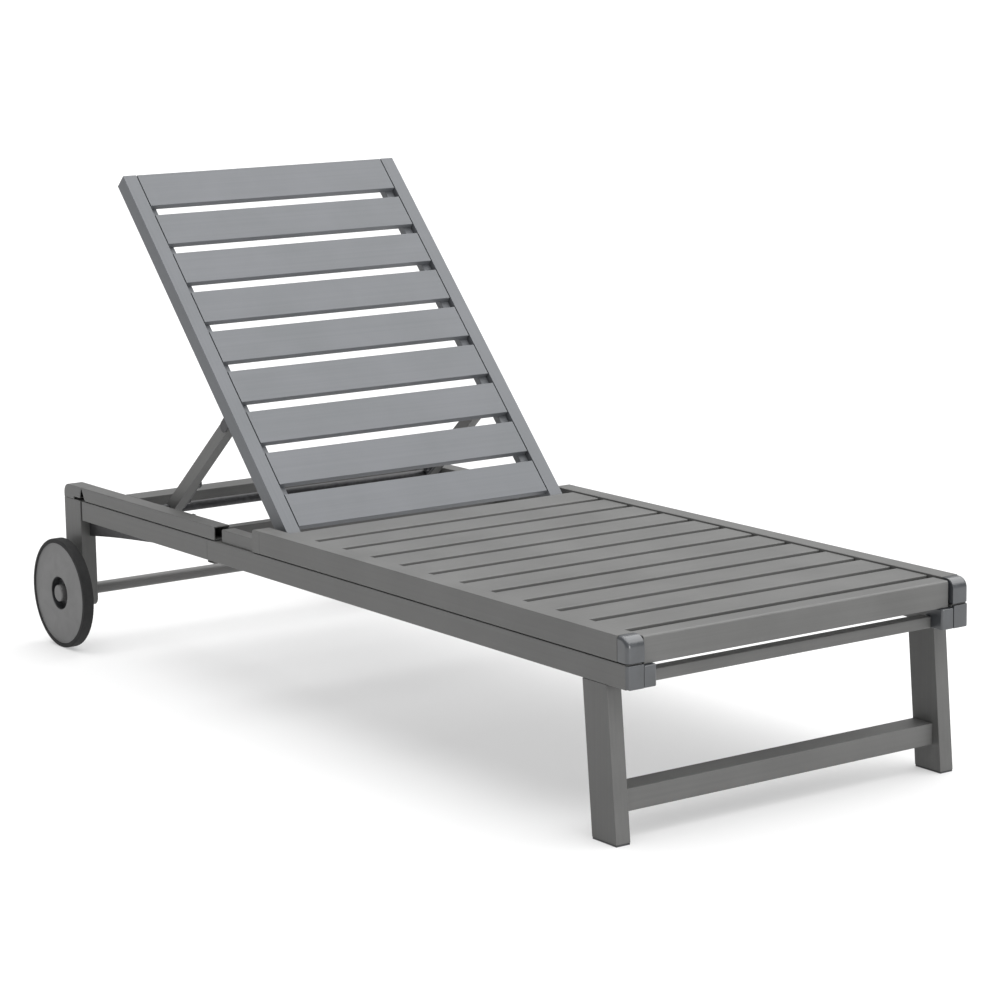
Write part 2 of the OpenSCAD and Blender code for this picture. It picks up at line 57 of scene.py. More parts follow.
# The tilted frames of the backrest and the prop: each is drawn flat, along -X from its pivot
BACK_TILT = math.radians(47)
PROP_TILT = math.radians(40.14)
LEVEL = Matrix()


def tilted(joint, angle):
    """Frame at a joint, turned about Y."""
    return Matrix.Translation(JOINTS[joint]["pos_m"]) @ Matrix.Rotation(angle, 4, "Y")


BACK = tilted("backrest_recline", BACK_TILT)
PROP = tilted("prop_swing", -PROP_TILT)

# Edge roundings, and the walls and bores of cut extrusions
EXTRUSION_EDGE = 1.3 * MM
RAIL_EDGE = 1.6 * MM
SLAT_EDGE = 1.0 * MM
MOULD_EDGE = 1.8 * MM
CUT_EDGE = 0.4 * MM
WALL = 2 * MM
BORE = 40 * MM
MOUTH = 60 * MM

# Open joints, which read as dark lines
SHADOW_GAP = 1.4 * MM
LEG_JOINT = 6 * MM
APRON_JOINT = 3.2 * MM
SEAM = 0.8 * MM
SEAT_SLAT_JOINT = 0.6 * MM
BACK_SLAT_JOINT = 2.2 * MM

# Caps: how far in from an end they reach at most, and their nose roundings
CAP_REACH = 100 * MM
CAP_NOSE = 18 * MM
SEAT_CAP_NOSE = 8 * MM
CAP_SHOULDER = 7 * MM
CAP_EDGE = 1.2 * MM

# Rear cap: the slot over its leg, its leaning hollow face, and beside it a wedge that is opened a little
# further than in CAD and shows a tenon made near-black as painted shade
CAP_SLOT = 5 * MM
CAP_SLOT_RUN = 32 * MM
CAP_LEAN = 7 * MM
CAP_SINK = 14 * MM
WEDGE_MORE = 6 * MM
SHADE_TENON_IN_CAP = 12 * MM
SHADE_TENON_IN_RAIL = 10 * MM
SHADE_TENON_INSET = Vector((0, 9 * MM, 2.5 * MM))

# Foot corners, leg ends, glides and the apron's slat
PLATE_CORNER = 5.4 * MM
BLOCK_CORNER = 5 * MM
REAR_LEG_END = 16 * MM
GLIDE = 3 * MM
GLIDE_INSET = 0.6 * MM
APRON_SLAT = 12.5 * MM
APRON_NOSE = 4.5 * MM

# Wheels: the disc's rim and sunk face, the hub's recess with a near-black cup in it as painted shade, the nut and
# the tyre's shoulder
RIM_WIDTH = 2.2 * MM
FACE_SINK = 0.6 * MM
HUB_BORE = 33 * MM
HUB_DEPTH = 15 * MM
SHADE_CUP_PLAY = 0.2 * MM
SHADE_CUP_WALL = 1 * MM
SHADE_CUP_FLOOR = 0.1 * MM
SHADE_CUP_BELOW_RIM = 1.8 * MM
NUT_RADIUS = 16.5 * MM
NUT_CROWN = 2.5 * MM
TYRE_SHOULDER = 3.2 * MM
AXLE_END_RADIUS = 7 * MM

# Pivot pins, and the prop's shoes with two bosses each
PIN_HEAD = 3 * MM
PIN_HEAD_RADIUS = 7.5 * MM
PIN_RADIUS = 5 * MM
SHOE_PLATE = 5 * MM
BOSSES_ALONG = (201 * MM, 256 * MM)
BOSS_RADIUS = 10 * MM
TUBE_WALL = 1.5 * MM


# ---------------------------------------------------------------------------- modelling


def begin():
    """Object mode with nothing selected."""
    if bpy.context.mode != "OBJECT":
        bpy.ops.object.mode_set(mode="OBJECT")
    bpy.ops.object.select_all(action="DESELECT")


def only(piece):
    """Makes one piece the only selected one."""
    begin()
    piece.select_set(True)
    bpy.context.view_layer.objects.active = piece


def pick(kind, test):
    """In edit mode, selects the faces or edges that pass the test, and nothing else."""
    bpy.ops.mesh.select_mode(type=kind)
    bpy.ops.mesh.select_all(action="DESELECT")
    data = bpy.context.edit_object.data
    mesh = bmesh.from_edit_mesh(data)
    chosen = [item for item in (mesh.faces if kind == "FACE" else mesh.edges) if test(item)]
    for item in chosen:
        item.select_set(True)
    bmesh.update_edit_mesh(data)
    return len(chosen)


def runs(edge, axis):
    """True if an edge runs along an axis."""
    step = edge.verts[1].co - edge.verts[0].co
    return abs(step[axis]) > 0.999 * step.length


def middle(edge):
    """Midpoint of an edge."""
    return (edge.verts[0].co + edge.verts[1].co) / 2


def near(a, b):
    """True if two lengths are the same to a hundredth of a millimetre."""
    return abs(a - b) < 0.01 * MM


def on_rim(edge):
    """True if an edge belongs to the rim of a drum along Y."""
    return near(edge.verts[0].co.y, edge.verts[1].co.y) and edge.calc_face_angle(0) > 1


def round_off(radius, steps=4):
    """Rounds the selected edges."""
    bpy.ops.mesh.bevel(offset=radius, segments=steps, profile=0.5, affect="EDGES")


def draw_out(x=0, y=0, z=0):
    """Extrudes the selected faces by a step."""
    bpy.ops.mesh.extrude_region_move(TRANSFORM_OT_translate={"value": (x, y, z)})


def extent(node, place=LEVEL, keep=None):
    """Lowest and highest corner of a CAD node in a tilted frame, or of the corners that keep passes."""
    flat = place.inverted()
    points = [v.co for v in frame["nodes"][node].data.vertices if keep is None or keep(v.co)]
    points = [flat @ p for p in points]
    low = Vector([min(p[k] for p in points) for k in (X, Y, Z)])
    high = Vector([max(p[k] for p in points) for k in (X, Y, Z)])
    return low, high


def block(name, low, high):
    """Box between two corners, left open in edit mode for shaping."""
    begin()
    bpy.ops.mesh.primitive_cube_add(size=1, location=(low + high) / 2, scale=high - low)
    piece = bpy.context.object
    piece.name = name
    bpy.ops.object.transform_apply(location=True, rotation=True, scale=True)
    bpy.ops.object.mode_set(mode="EDIT")
    return piece


def hollow_end(axis, at, wall, depth):
    """Insets the end face at a place along an axis and sinks it, as a cut extrusion shows its bore."""
    if not pick("FACE", lambda f: abs(f.normal[axis]) > 0.99 and near(f.calc_center_median()[axis], at)):
        return
    bpy.ops.mesh.inset(thickness=wall, depth=0)
    end = next(f for f in bmesh.from_edit_mesh(bpy.context.edit_object.data).faces if f.select)
    step = [0, 0, 0]
    step[axis] = -math.copysign(depth, end.normal[axis])
    draw_out(*step)


def bar(name, low, high, axis, edge=EXTRUSION_EDGE, hollow=(), depth=BORE):
    """Extruded bar: its long edges rounded, its cut ends eased, and bored where it is hollow."""
    piece = block(name, low, high)
    pick("EDGE", lambda e: runs(e, axis))
    round_off(edge, 4)
    for at in hollow:
        hollow_end(axis, at, WALL, depth)
    ends = (low[axis], high[axis])
    pick("EDGE", lambda e: not runs(e, axis) and any(near(v.co[axis], at) for at in ends for v in e.verts)
        and near(e.verts[0].co[axis], e.verts[1].co[axis]) and e.calc_face_angle(0) > 1)
    round_off(CUT_EDGE, 2)
    return piece


def drum(name, radius, low, high, x, z, sides=96, end_edge=0.0):
    """Solid round bar along Y from low to high, left open in edit mode."""
    begin()
    bpy.ops.mesh.primitive_cylinder_add(vertices=sides, radius=radius, depth=high - low,
        location=(x, (low + high) / 2, z), rotation=(math.pi / 2, 0, 0))
    piece = bpy.context.object
    piece.name = name
    bpy.ops.object.transform_apply(location=True, rotation=True, scale=True)
    bpy.ops.object.mode_set(mode="EDIT")
    if end_edge:
        pick("EDGE", on_rim)
        round_off(end_edge, 3)
    return piece


def copy_of(piece, name, shift):
    """Copy with its own mesh, moved by a step."""
    only(piece)
    bpy.ops.object.duplicate()
    twin = bpy.context.object
    twin.name = name
    twin.location = shift
    bpy.ops.object.transform_apply(location=True, rotation=True, scale=True)
    return twin


def mirrored(piece, name):
    """Copy with its own mesh, mirrored to the other side, its faces turned out again."""
    only(piece)
    bpy.ops.object.duplicate()
    twin = bpy.context.object
    twin.name = name
    twin.scale = (1, -1, 1)
    bpy.ops.object.transform_apply(location=False, rotation=False, scale=True)
    bpy.ops.object.mode_set(mode="EDIT")
    bpy.ops.mesh.select_all(action="SELECT")
    bpy.ops.mesh.normals_make_consistent(inside=False)
    begin()
    return twin


def one_side(node, side, from_x=-9, to_x=9):
    """Extent of a CAD node's solids on one side, between two places along X."""
    sign = 1 if side == "left" else -1
    return extent(node, keep=lambda p: p.y * sign > 0 and from_x < p.x < to_x)


def soften(piece, width, steps=3):
    """Rounds every remaining sharp edge of a moulding."""
    only(piece)
    soft = piece.modifiers.new("soft edges", "BEVEL")
    soft.width = width
    soft.segments = steps
    soft.limit_method = "ANGLE"
    soft.angle_limit = math.radians(40)
    bpy.ops.object.modifier_apply(modifier=soft.name)


def settle(piece, material, node, place=LEVEL, smooth=25):
    """Puts a finished piece in its place, gives it its coat, and lets it stand for a CAD node."""
    only(piece)
    piece.matrix_world = place
    bpy.ops.object.transform_apply(location=True, rotation=True, scale=True)
    bpy.ops.object.shade_smooth_by_angle(angle=math.radians(smooth))
    even = piece.modifiers.new("even shading", "WEIGHTED_NORMAL")
    even.keep_sharp = True
    bpy.ops.object.modifier_apply(modifier=even.name)
    piece.data.materials.clear()
    piece.data.materials.append(material)
    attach(piece, BODY[node])
    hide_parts(node)


# ---------------------------------------------------------------------------- materials


def srgb(code):
    """Linear colour of an sRGB hex value."""
    parts = [int(code[k:k + 2], 16) / 255 for k in (0, 2, 4)]
    linear = [c / 12.92 if c <= 0.04045 else ((c + 0.055) / 1.055) ** 2.4 for c in parts]
    return (*linear, 1)


def add(tree, kind, values=None, links=None, **settings):
    """Adds a shader node with its settings, its input values and the outputs that feed it."""
    node = tree.nodes.new(kind)
    for key, value in settings.items():
        setattr(node, key, value)
    for key, value in (values or {}).items():
        node.inputs[key].default_value = value
    for key, source in (links or {}).items():
        tree.links.new(source, node.inputs[key])
    return node


def surface(name, roughness, metallic=0.0, specular=0.5):
    """New material, its node tree, its shader and its Object coordinates."""
    material = bpy.data.materials.new(name)
    material.use_nodes = True
    tree = material.node_tree
    shader = tree.nodes["Principled BSDF"]
    shader.inputs["Roughness"].default_value = roughness
    shader.inputs["Metallic"].default_value = metallic
    shader.inputs["IOR"].default_value = 1.5
    shader.inputs["Specular IOR Level"].default_value = specular
    place = add(tree, "ShaderNodeTexCoord").outputs["Object"]
    return material, tree, shader, place


def powder_coat(name, dark, light, run, tilt=0.0):
    """Polyester powder coat on extruded aluminium, sprayed and baked: a satin grey skin with a fine
    orange peel, faint lines along the extrusion from the die, and slow drifts in tone and sheen."""
    material, tree, shader, place = surface(name, 0.5)
    # Long thin noise along the extrusion's run; the die lines are drawn 5 mm apart, coarser than
    # the real 0.5 mm, so that they show at all
    along, across = 1 / 0.9, 1 / 0.005
    stretch = [across, across, across]
    stretch[run] = along
    turned = add(tree, "ShaderNodeMapping", {"Rotation": (0, -tilt, 0)}, {"Vector": place})
    drawn = add(tree, "ShaderNodeMapping", {"Scale": stretch}, {"Vector": turned.outputs["Vector"]})
    lines = add(tree, "ShaderNodeTexNoise", {"Scale": 1.0, "Detail": 3.0, "Roughness": 0.6},
        {"Vector": drawn.outputs["Vector"]})
    drift = add(tree, "ShaderNodeTexNoise", {"Scale": 1 / 0.12, "Detail": 3.0, "Roughness": 0.5},
        {"Vector": place})
    blend = add(tree, "ShaderNodeMath", {1: 0.35}, {0: lines.outputs["Fac"]}, operation="MULTIPLY")
    tone = add(tree, "ShaderNodeMath", {1: 0.65, 2: 0.0},
        {0: drift.outputs["Fac"], 2: blend.outputs["Value"]}, operation="MULTIPLY_ADD")
    ramp = add(tree, "ShaderNodeValToRGB", links={"Fac": tone.outputs["Value"]})
    ramp.color_ramp.elements[0].position = 0.3
    ramp.color_ramp.elements[0].color = srgb(dark)
    ramp.color_ramp.elements[1].position = 0.7
    ramp.color_ramp.elements[1].color = srgb(light)
    tree.links.new(ramp.outputs["Color"], shader.inputs["Base Color"])
    sheen = add(tree, "ShaderNodeMapRange", {"To Min": 0.42, "To Max": 0.56},
        {"Value": drift.outputs["Fac"]})
    tree.links.new(sheen.outputs["Result"], shader.inputs["Roughness"])
    # Orange peel, drawn 2.5 mm across instead of about 1 mm
    peel = add(tree, "ShaderNodeTexNoise", {"Scale": 1 / 0.0025, "Detail": 2.0}, {"Vector": place})
    bump = add(tree, "ShaderNodeBump", {"Strength": 0.12, "Distance": 0.0003},
        {"Height": peel.outputs["Fac"]})
    tree.links.new(bump.outputs["Normal"], shader.inputs["Normal"])
    return material


def moulded(name, dark, light, gloss, grain_mm, specular=0.5):
    """Nylon or polypropylene, injection moulded in a spark-eroded tool: a semi-gloss skin with a fine
    even grain, drawn coarser than the real 0.5 mm, and soft cloudy flow marks."""
    material, tree, shader, place = surface(name, gloss, specular=specular)
    flow = add(tree, "ShaderNodeTexNoise", {"Scale": 1 / 0.035, "Detail": 3.0, "Distortion": 0.6},
        {"Vector": place})
    ramp = add(tree, "ShaderNodeValToRGB", links={"Fac": flow.outputs["Fac"]})
    ramp.color_ramp.elements[0].position = 0.32
    ramp.color_ramp.elements[0].color = srgb(dark)
    ramp.color_ramp.elements[1].position = 0.68
    ramp.color_ramp.elements[1].color = srgb(light)
    tree.links.new(ramp.outputs["Color"], shader.inputs["Base Color"])
    shine = add(tree, "ShaderNodeMapRange", {"To Min": gloss - 0.05, "To Max": gloss + 0.07},
        {"Value": flow.outputs["Fac"]})
    tree.links.new(shine.outputs["Result"], shader.inputs["Roughness"])
    grain = add(tree, "ShaderNodeTexVoronoi", {"Scale": 1 / (grain_mm * MM)}, {"Vector": place})
    bump = add(tree, "ShaderNodeBump", {"Strength": 0.1, "Distance": 0.0002},
        {"Height": grain.outputs["Distance"]})
    tree.links.new(bump.outputs["Normal"], shader.inputs["Normal"])
    return material


def tyre_rubber():
    """Solid styrene rubber band, moulded: near black, dull, a little dusty, with a fine rough skin that
    is drawn 2 mm across, coarser than the real one."""
    material, tree, shader, place = surface("solid_moulded_rubber", 0.78)
    dust = add(tree, "ShaderNodeTexNoise", {"Scale": 1 / 0.02, "Detail": 5.0, "Roughness": 0.65},
        {"Vector": place})
    ramp = add(tree, "ShaderNodeValToRGB", links={"Fac": dust.outputs["Fac"]})
    ramp.color_ramp.elements[0].position = 0.35
    ramp.color_ramp.elements[0].color = srgb("0d0d0e")
    ramp.color_ramp.elements[1].position = 0.8
    ramp.color_ramp.elements[1].color = srgb("1f1f1f")
    tree.links.new(ramp.outputs["Color"], shader.inputs["Base Color"])
    fine = add(tree, "ShaderNodeTexNoise", {"Scale": 1 / 0.002, "Detail": 2.0}, {"Vector": place})
    bump = add(tree, "ShaderNodeBump", {"Strength": 0.25, "Distance": 0.0004},
        {"Height": fine.outputs["Fac"]})
    tree.links.new(bump.outputs["Normal"], shader.inputs["Normal"])
    return material


def painted_steel(name, dark, light):
    """Mild steel, pressed or turned and then painted: satin paint with rubbed, brighter patches."""
    material, tree, shader, place = surface(name, 0.45, metallic=0.3)
    rub = add(tree, "ShaderNodeTexNoise", {"Scale": 1 / 0.012, "Detail": 4.0, "Roughness": 0.7},
        {"Vector": place})
    ramp = add(tree, "ShaderNodeValToRGB", links={"Fac": rub.outputs["Fac"]})
    ramp.color_ramp.elements[0].position = 0.4
    ramp.color_ramp.elements[0].color = srgb(dark)
    ramp.color_ramp.elements[1].position = 0.75
    ramp.color_ramp.elements[1].color = srgb(light)
    tree.links.new(ramp.outputs["Color"], shader.inputs["Base Color"])
    shine = add(tree, "ShaderNodeMapRange", {"To Min": 0.38, "To Max": 0.58}, {"Value": rub.outputs["Fac"]})
    tree.links.new(shine.outputs["Result"], shader.inputs["Roughness"])
    bump = add(tree, "ShaderNodeBump", {"Strength": 0.15, "Distance": 0.0002}, {"Height": rub.outputs["Fac"]})
    tree.links.new(bump.outputs["Normal"], shader.inputs["Normal"])
    return material


COAT_DARK, COAT_LIGHT = "525251", "5f5f5e"
RAIL_COAT = powder_coat("powder_coated_aluminium_rails", COAT_DARK, COAT_LIGHT, X)
CROSS_COAT = powder_coat("powder_coated_aluminium_cross_pieces", COAT_DARK, COAT_LIGHT, Y)
# The legs' coat is a darker copy of the rails' coat: painted shade.
SHADED_LEG_COAT = powder_coat("powder_coated_aluminium_legs", "4e4e4d", "5b5b5a", Z)
# The backrest's slats, stiles and battens get a lighter, bluer copy of the rails' coat: painted light on its
# tilted face.
LIT_BACK_COAT = powder_coat("powder_coated_aluminium_back_slats", "55585b", "616367", Y)
LIT_STILE_COAT = powder_coat("powder_coated_aluminium_stiles", "55585b", "616367", X, BACK_TILT)
PROP_COAT = powder_coat("powder_coated_aluminium_prop", COAT_DARK, COAT_LIGHT, X, -PROP_TILT)
CAP_NYLON = moulded("moulded_nylon_caps", "2d3033", "373a3e", 0.3, 1.5, 1.0)
WHEEL_PLASTIC = moulded("moulded_polypropylene_wheels", "5c5c5c", "686868", 0.45, 2.0)
# Real nylon on the shoes and glides. On the hub cups and the rear rail tenons its near-black is painted shade.
SHOE_NYLON_AND_SHADE_FILL = moulded("moulded_nylon_shoes", "2e2f31", "3a3b3d", 0.4, 1.5)
TYRE_RUBBER = tyre_rubber()
PAINTED_STEEL = painted_steel("dip_painted_steel", "303032", "464648")
RACK_STEEL = painted_steel("sprayed_pressed_steel_racks", "505051", "5e5e5e")


# ---------------------------------------------------------------------------- side rails


def rails():
    """Lower rails in two lengths, seat rails between their caps, and rear rails."""
    for side in SIDES:
        for kind in ("lower_rail_rear", "lower_rail_front", "seat_rail"):
            node = f"{kind}_{side}"
            low, high = extent(node)
            if kind == "lower_rail_rear":
                low.x += LEG_JOINT
            if kind == "seat_rail":
                low.z += SHADOW_GAP
            settle(bar(node + ".piece", low, high, X, edge=RAIL_EDGE), RAIL_COAT, node)
        rear_rail(side)


def rear_rail(side):
    """Rear rail with an open mouth in front, cut on a slant at the cap, where a near-black tenon shows as painted
    shade in the wedge.
    """
    node = f"rear_rail_{side}"
    low, high = extent(node)
    slant_foot = extent(node, keep=lambda p: p.z < low.z + 0.1 * MM)[0].x + WEDGE_MORE
    low.z += SHADOW_GAP
    piece = bar(node + ".piece", low, high, X, edge=RAIL_EDGE, hollow=(high.x,), depth=MOUTH)
    bpy.ops.mesh.select_all(action="SELECT")
    bpy.ops.mesh.bisect(plane_co=(low.x, 0, high.z), plane_no=(high.z - low.z, 0, slant_foot - low.x),
        clear_inner=True, use_fill=True)
    settle(piece, RAIL_COAT, node)
    # The tenon is near-black nylon seen through the wedge: painted shade for the wedge's deep shade.
    shade_tenon = block(f"rear_rail_tenon_{side}", Vector((low.x - SHADE_TENON_IN_CAP, low.y, low.z)) + SHADE_TENON_INSET,
        Vector((slant_foot + SHADE_TENON_IN_RAIL, high.y, high.z)) - SHADE_TENON_INSET)
    begin()
    settle(shade_tenon, SHOE_NYLON_AND_SHADE_FILL, node)


def caps():
    """Moulded caps: over the rear legs, low at the seat rails' rear ends, and nosed at the foot."""
    node = "rail_end_caps"
    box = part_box(node)
    rear_to = box[0].x + CAP_REACH
    foot_from = box[1].x - CAP_REACH
    for side in SIDES:
        settle(rear_leg_cap(side, *one_side(node, side, to_x=rear_to)), RAIL_COAT, node)
        settle(seat_rail_rear_cap(side, *one_side(node, side, rear_to, foot_from)), RAIL_COAT, node)
        settle(foot_cap(side, *one_side(node, side, foot_from)), CAP_NYLON, node)


def rear_leg_cap(side, low, high):
    """Square cap, rounded at the back, with a slot over the leg and a hollow face that leans to the wedge."""
    slot_z = low.z + CAP_SLOT
    slot_x = high.x - CAP_SLOT_RUN
    piece = block(f"rear_leg_cap_{side}", Vector((low.x, low.y, slot_z)), high)
    pick("EDGE", lambda e: runs(e, Y) and near(middle(e).x, low.x) and near(middle(e).z, high.z))
    round_off(CAP_NOSE, 10)
    bpy.ops.mesh.select_all(action="SELECT")
    bpy.ops.mesh.bisect(plane_co=(slot_x, 0, 0), plane_no=(1, 0, 0))
    pick("FACE", lambda f: f.normal.z < -0.9 and f.calc_center_median().x < slot_x)
    draw_out(z=low.z - slot_z)
    pick("EDGE", lambda e: runs(e, Y) and near(middle(e).x, high.x) and near(middle(e).z, slot_z))
    bpy.ops.transform.translate(value=(-CAP_LEAN, 0, 0))
    pick("FACE", lambda f: f.normal.x > 0.7 and f.calc_center_median().x > high.x - CAP_LEAN)
    bpy.ops.mesh.inset(thickness=WALL)
    draw_out(x=-CAP_SINK)
    begin()
    soften(piece, CAP_EDGE)
    return piece


def seat_rail_rear_cap(side, low, high):
    """Low cap at the seat rail's rear end, rounded over its top."""
    low.z += SHADOW_GAP
    piece = block(f"seat_rail_rear_cap_{side}", low, high)
    pick("EDGE", lambda e: runs(e, Y) and near(middle(e).x, low.x) and near(middle(e).z, high.z))
    round_off(SEAT_CAP_NOSE, 8)
    begin()
    soften(piece, 1 * MM)
    return piece


def foot_cap(side, low, high):
    """Cap with a full nose at the foot end and a rounded outer shoulder."""
    outer = 1 if side == "left" else -1
    low.z += SHADOW_GAP
    piece = block(f"foot_cap_{side}", low, high)
    pick("EDGE", lambda e: runs(e, Y) and near(middle(e).x, high.x) and near(middle(e).z, high.z))
    round_off(CAP_NOSE, 12)
    pick("EDGE", lambda e: near(middle(e).y * outer, max(low.y * outer, high.y * outer))
        and middle(e).x > low.x + 0.1 * MM and middle(e).z > low.z + 0.1 * MM)
    round_off(CAP_SHOULDER, 6)
    begin()
    soften(piece, MOULD_EDGE)
    return piece


def corner_blocks():
    """Lower foot corners: the rail's end plate and, beside a fine seam, the lower block of the cross rail."""
    node = "foot_corner_blocks"
    for side in SIDES:
        outer = 1 if side == "left" else -1
        low, high = one_side(node, side)
        rail = extent("lower_rail_front_" + side)
        plate_x = rail[1].x
        rail_in = min(abs(rail[0].y), abs(rail[1].y)) * outer
        outside = max(abs(low.y), abs(high.y)) * outer
        inside = min(abs(low.y), abs(high.y)) * outer
        block_top = extent(node, keep=lambda p: abs(p.y) < abs(rail_in) - 1 * MM)[1].z
        ys = sorted((rail_in + SEAM * outer, outside))
        piece = block(f"foot_end_plate_{side}", Vector((plate_x, ys[0], low.z)),
            Vector((high.x, ys[1], high.z)))
        pick("EDGE", lambda e: near(middle(e).y, outside) and (runs(e, Z) and near(middle(e).x, high.x)
            or runs(e, X) and near(middle(e).z, low.z)))
        round_off(PLATE_CORNER, 6)
        begin()
        soften(piece, CAP_EDGE)
        settle(piece, CAP_NYLON, node)
        ys = sorted((inside, rail_in))
        piece = block(f"foot_corner_block_{side}", Vector((low.x, ys[0], low.z)),
            Vector((high.x, ys[1], block_top)))
        pick("EDGE", lambda e: runs(e, Z) and near(middle(e).x, high.x) and near(middle(e).y, inside))
        round_off(BLOCK_CORNER, 2)
        begin()
        soften(piece, MOULD_EDGE)
        settle(piece, CAP_NYLON, node)


def connectors():
    """Upper connector blocks, and the splice sleeves inside the lower rails."""
    node = "rail_connectors"
    lower_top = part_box("lower_rail_front_left")[1].z
    for side in SIDES:
        sign = 1 if side == "left" else -1
        low, high = extent(node, keep=lambda p: p.y * sign > 0 and p.z > lower_top - 0.1 * MM)
        settle(bar(f"rail_connector_{side}", low, high, X, edge=1.5 * MM), RAIL_COAT, node)
        low, high = extent(node, keep=lambda p: p.y * sign > 0 and p.z < lower_top - 1 * MM)
        settle(bar(f"splice_sleeve_{side}", low, high, X), RAIL_COAT, node)


# ---------------------------------------------------------------------------- legs and cross pieces


def legs():
    """Rear legs rounded at the axle, and front legs that splay forward to thin glides."""
    for side in SIDES:
        node = f"rear_leg_{side}"
        low, high = extent(node)
        piece = block(node + ".piece", low, high)
        pick("EDGE", lambda e: runs(e, Y) and near(middle(e).z, low.z))
        round_off(REAR_LEG_END, 8)
        begin()
        soften(piece, EXTRUSION_EDGE)
        settle(piece, SHADED_LEG_COAT, node)

        node = f"front_leg_{side}"
        low, high = extent(node)
        foot_from = extent(node, keep=lambda p: p.z < 1 * MM)[0].x
        splay = foot_from - low.x
        top_high = Vector((high.x - splay, high.y, high.z))
        piece = block(node + ".piece", low, top_high)
        pick("FACE", lambda f: f.normal.z < -0.9)
        bpy.ops.transform.translate(value=(splay, 0, GLIDE))
        begin()
        soften(piece, EXTRUSION_EDGE)
        settle(piece, SHADED_LEG_COAT, node)
        glide = block(f"front_leg_glide_{side}",
            Vector((foot_from + GLIDE_INSET, low.y + GLIDE_INSET, low.z)),
            Vector((high.x - GLIDE_INSET, high.y - GLIDE_INSET, low.z + GLIDE)))
        begin()
        soften(glide, 0.8 * MM)
        settle(glide, SHOE_NYLON_AND_SHADE_FILL, node)


def cross_pieces():
    """Bars that run across: the front stretcher and the foot, rear and middle cross rails."""
    for node in ("front_stretcher", "foot_cross_rail", "rear_cross_rail", "middle_cross_rail"):
        low, high = extent(node)
        settle(bar(node + ".piece", low, high, Y, hollow=(low.y, high.y)), CROSS_COAT, node)


def apron():
    """Last slat and fascia in one extrusion with an eased nose: a plate whose upper part is drawn back."""
    node = "foot_apron"
    low, high = extent(node)
    low.y += APRON_JOINT
    high.y -= APRON_JOINT
    plate_x = high.x - APRON_SLAT
    slat_z = high.z - APRON_SLAT
    piece = block(node + ".piece", Vector((plate_x, low.y, low.z)), high)
    bpy.ops.mesh.select_all(action="SELECT")
    bpy.ops.mesh.bisect(plane_co=(0, 0, slat_z), plane_no=(0, 0, 1))
    pick("FACE", lambda f: f.normal.x < -0.9 and f.calc_center_median().z > slat_z)
    draw_out(x=low.x - plate_x)
    pick("EDGE", lambda e: runs(e, Y) and near(middle(e).x, high.x) and near(middle(e).z, high.z))
    round_off(APRON_NOSE, 6)
    begin()
    soften(piece, SLAT_EDGE)
    settle(piece, CROSS_COAT, node)


def slats(prefix, count, model, material, place, joint):
    """Slats of one pattern, a joint short of their CAD nodes at each end: the model is made once and
    copied along, and the odd ones are made apart."""
    short = Vector((0, joint, 0))
    low, high = extent(f"{prefix}_{model}", place)
    low, high = low + short, high - short
    size = high - low
    master = bar(f"{prefix}_{model}.piece", low, high, Y, edge=SLAT_EDGE)
    begin()
    for i in range(1, count + 1):
        node = f"{prefix}_{i}"
        if i == model:
            continue
        start, end = extent(node, place)
        start, end = start + short, end - short
        if abs((end - start).x - size.x) < 0.1 * MM:
            settle(copy_of(master, node + ".piece", start - low), material, node, place)
        else:
            odd = bar(node + ".piece", start, end, Y, edge=SLAT_EDGE)
            begin()
            settle(odd, material, node, place)
    settle(master, material, f"{prefix}_{model}", place)


# ---------------------------------------------------------------------------- wheels and axle


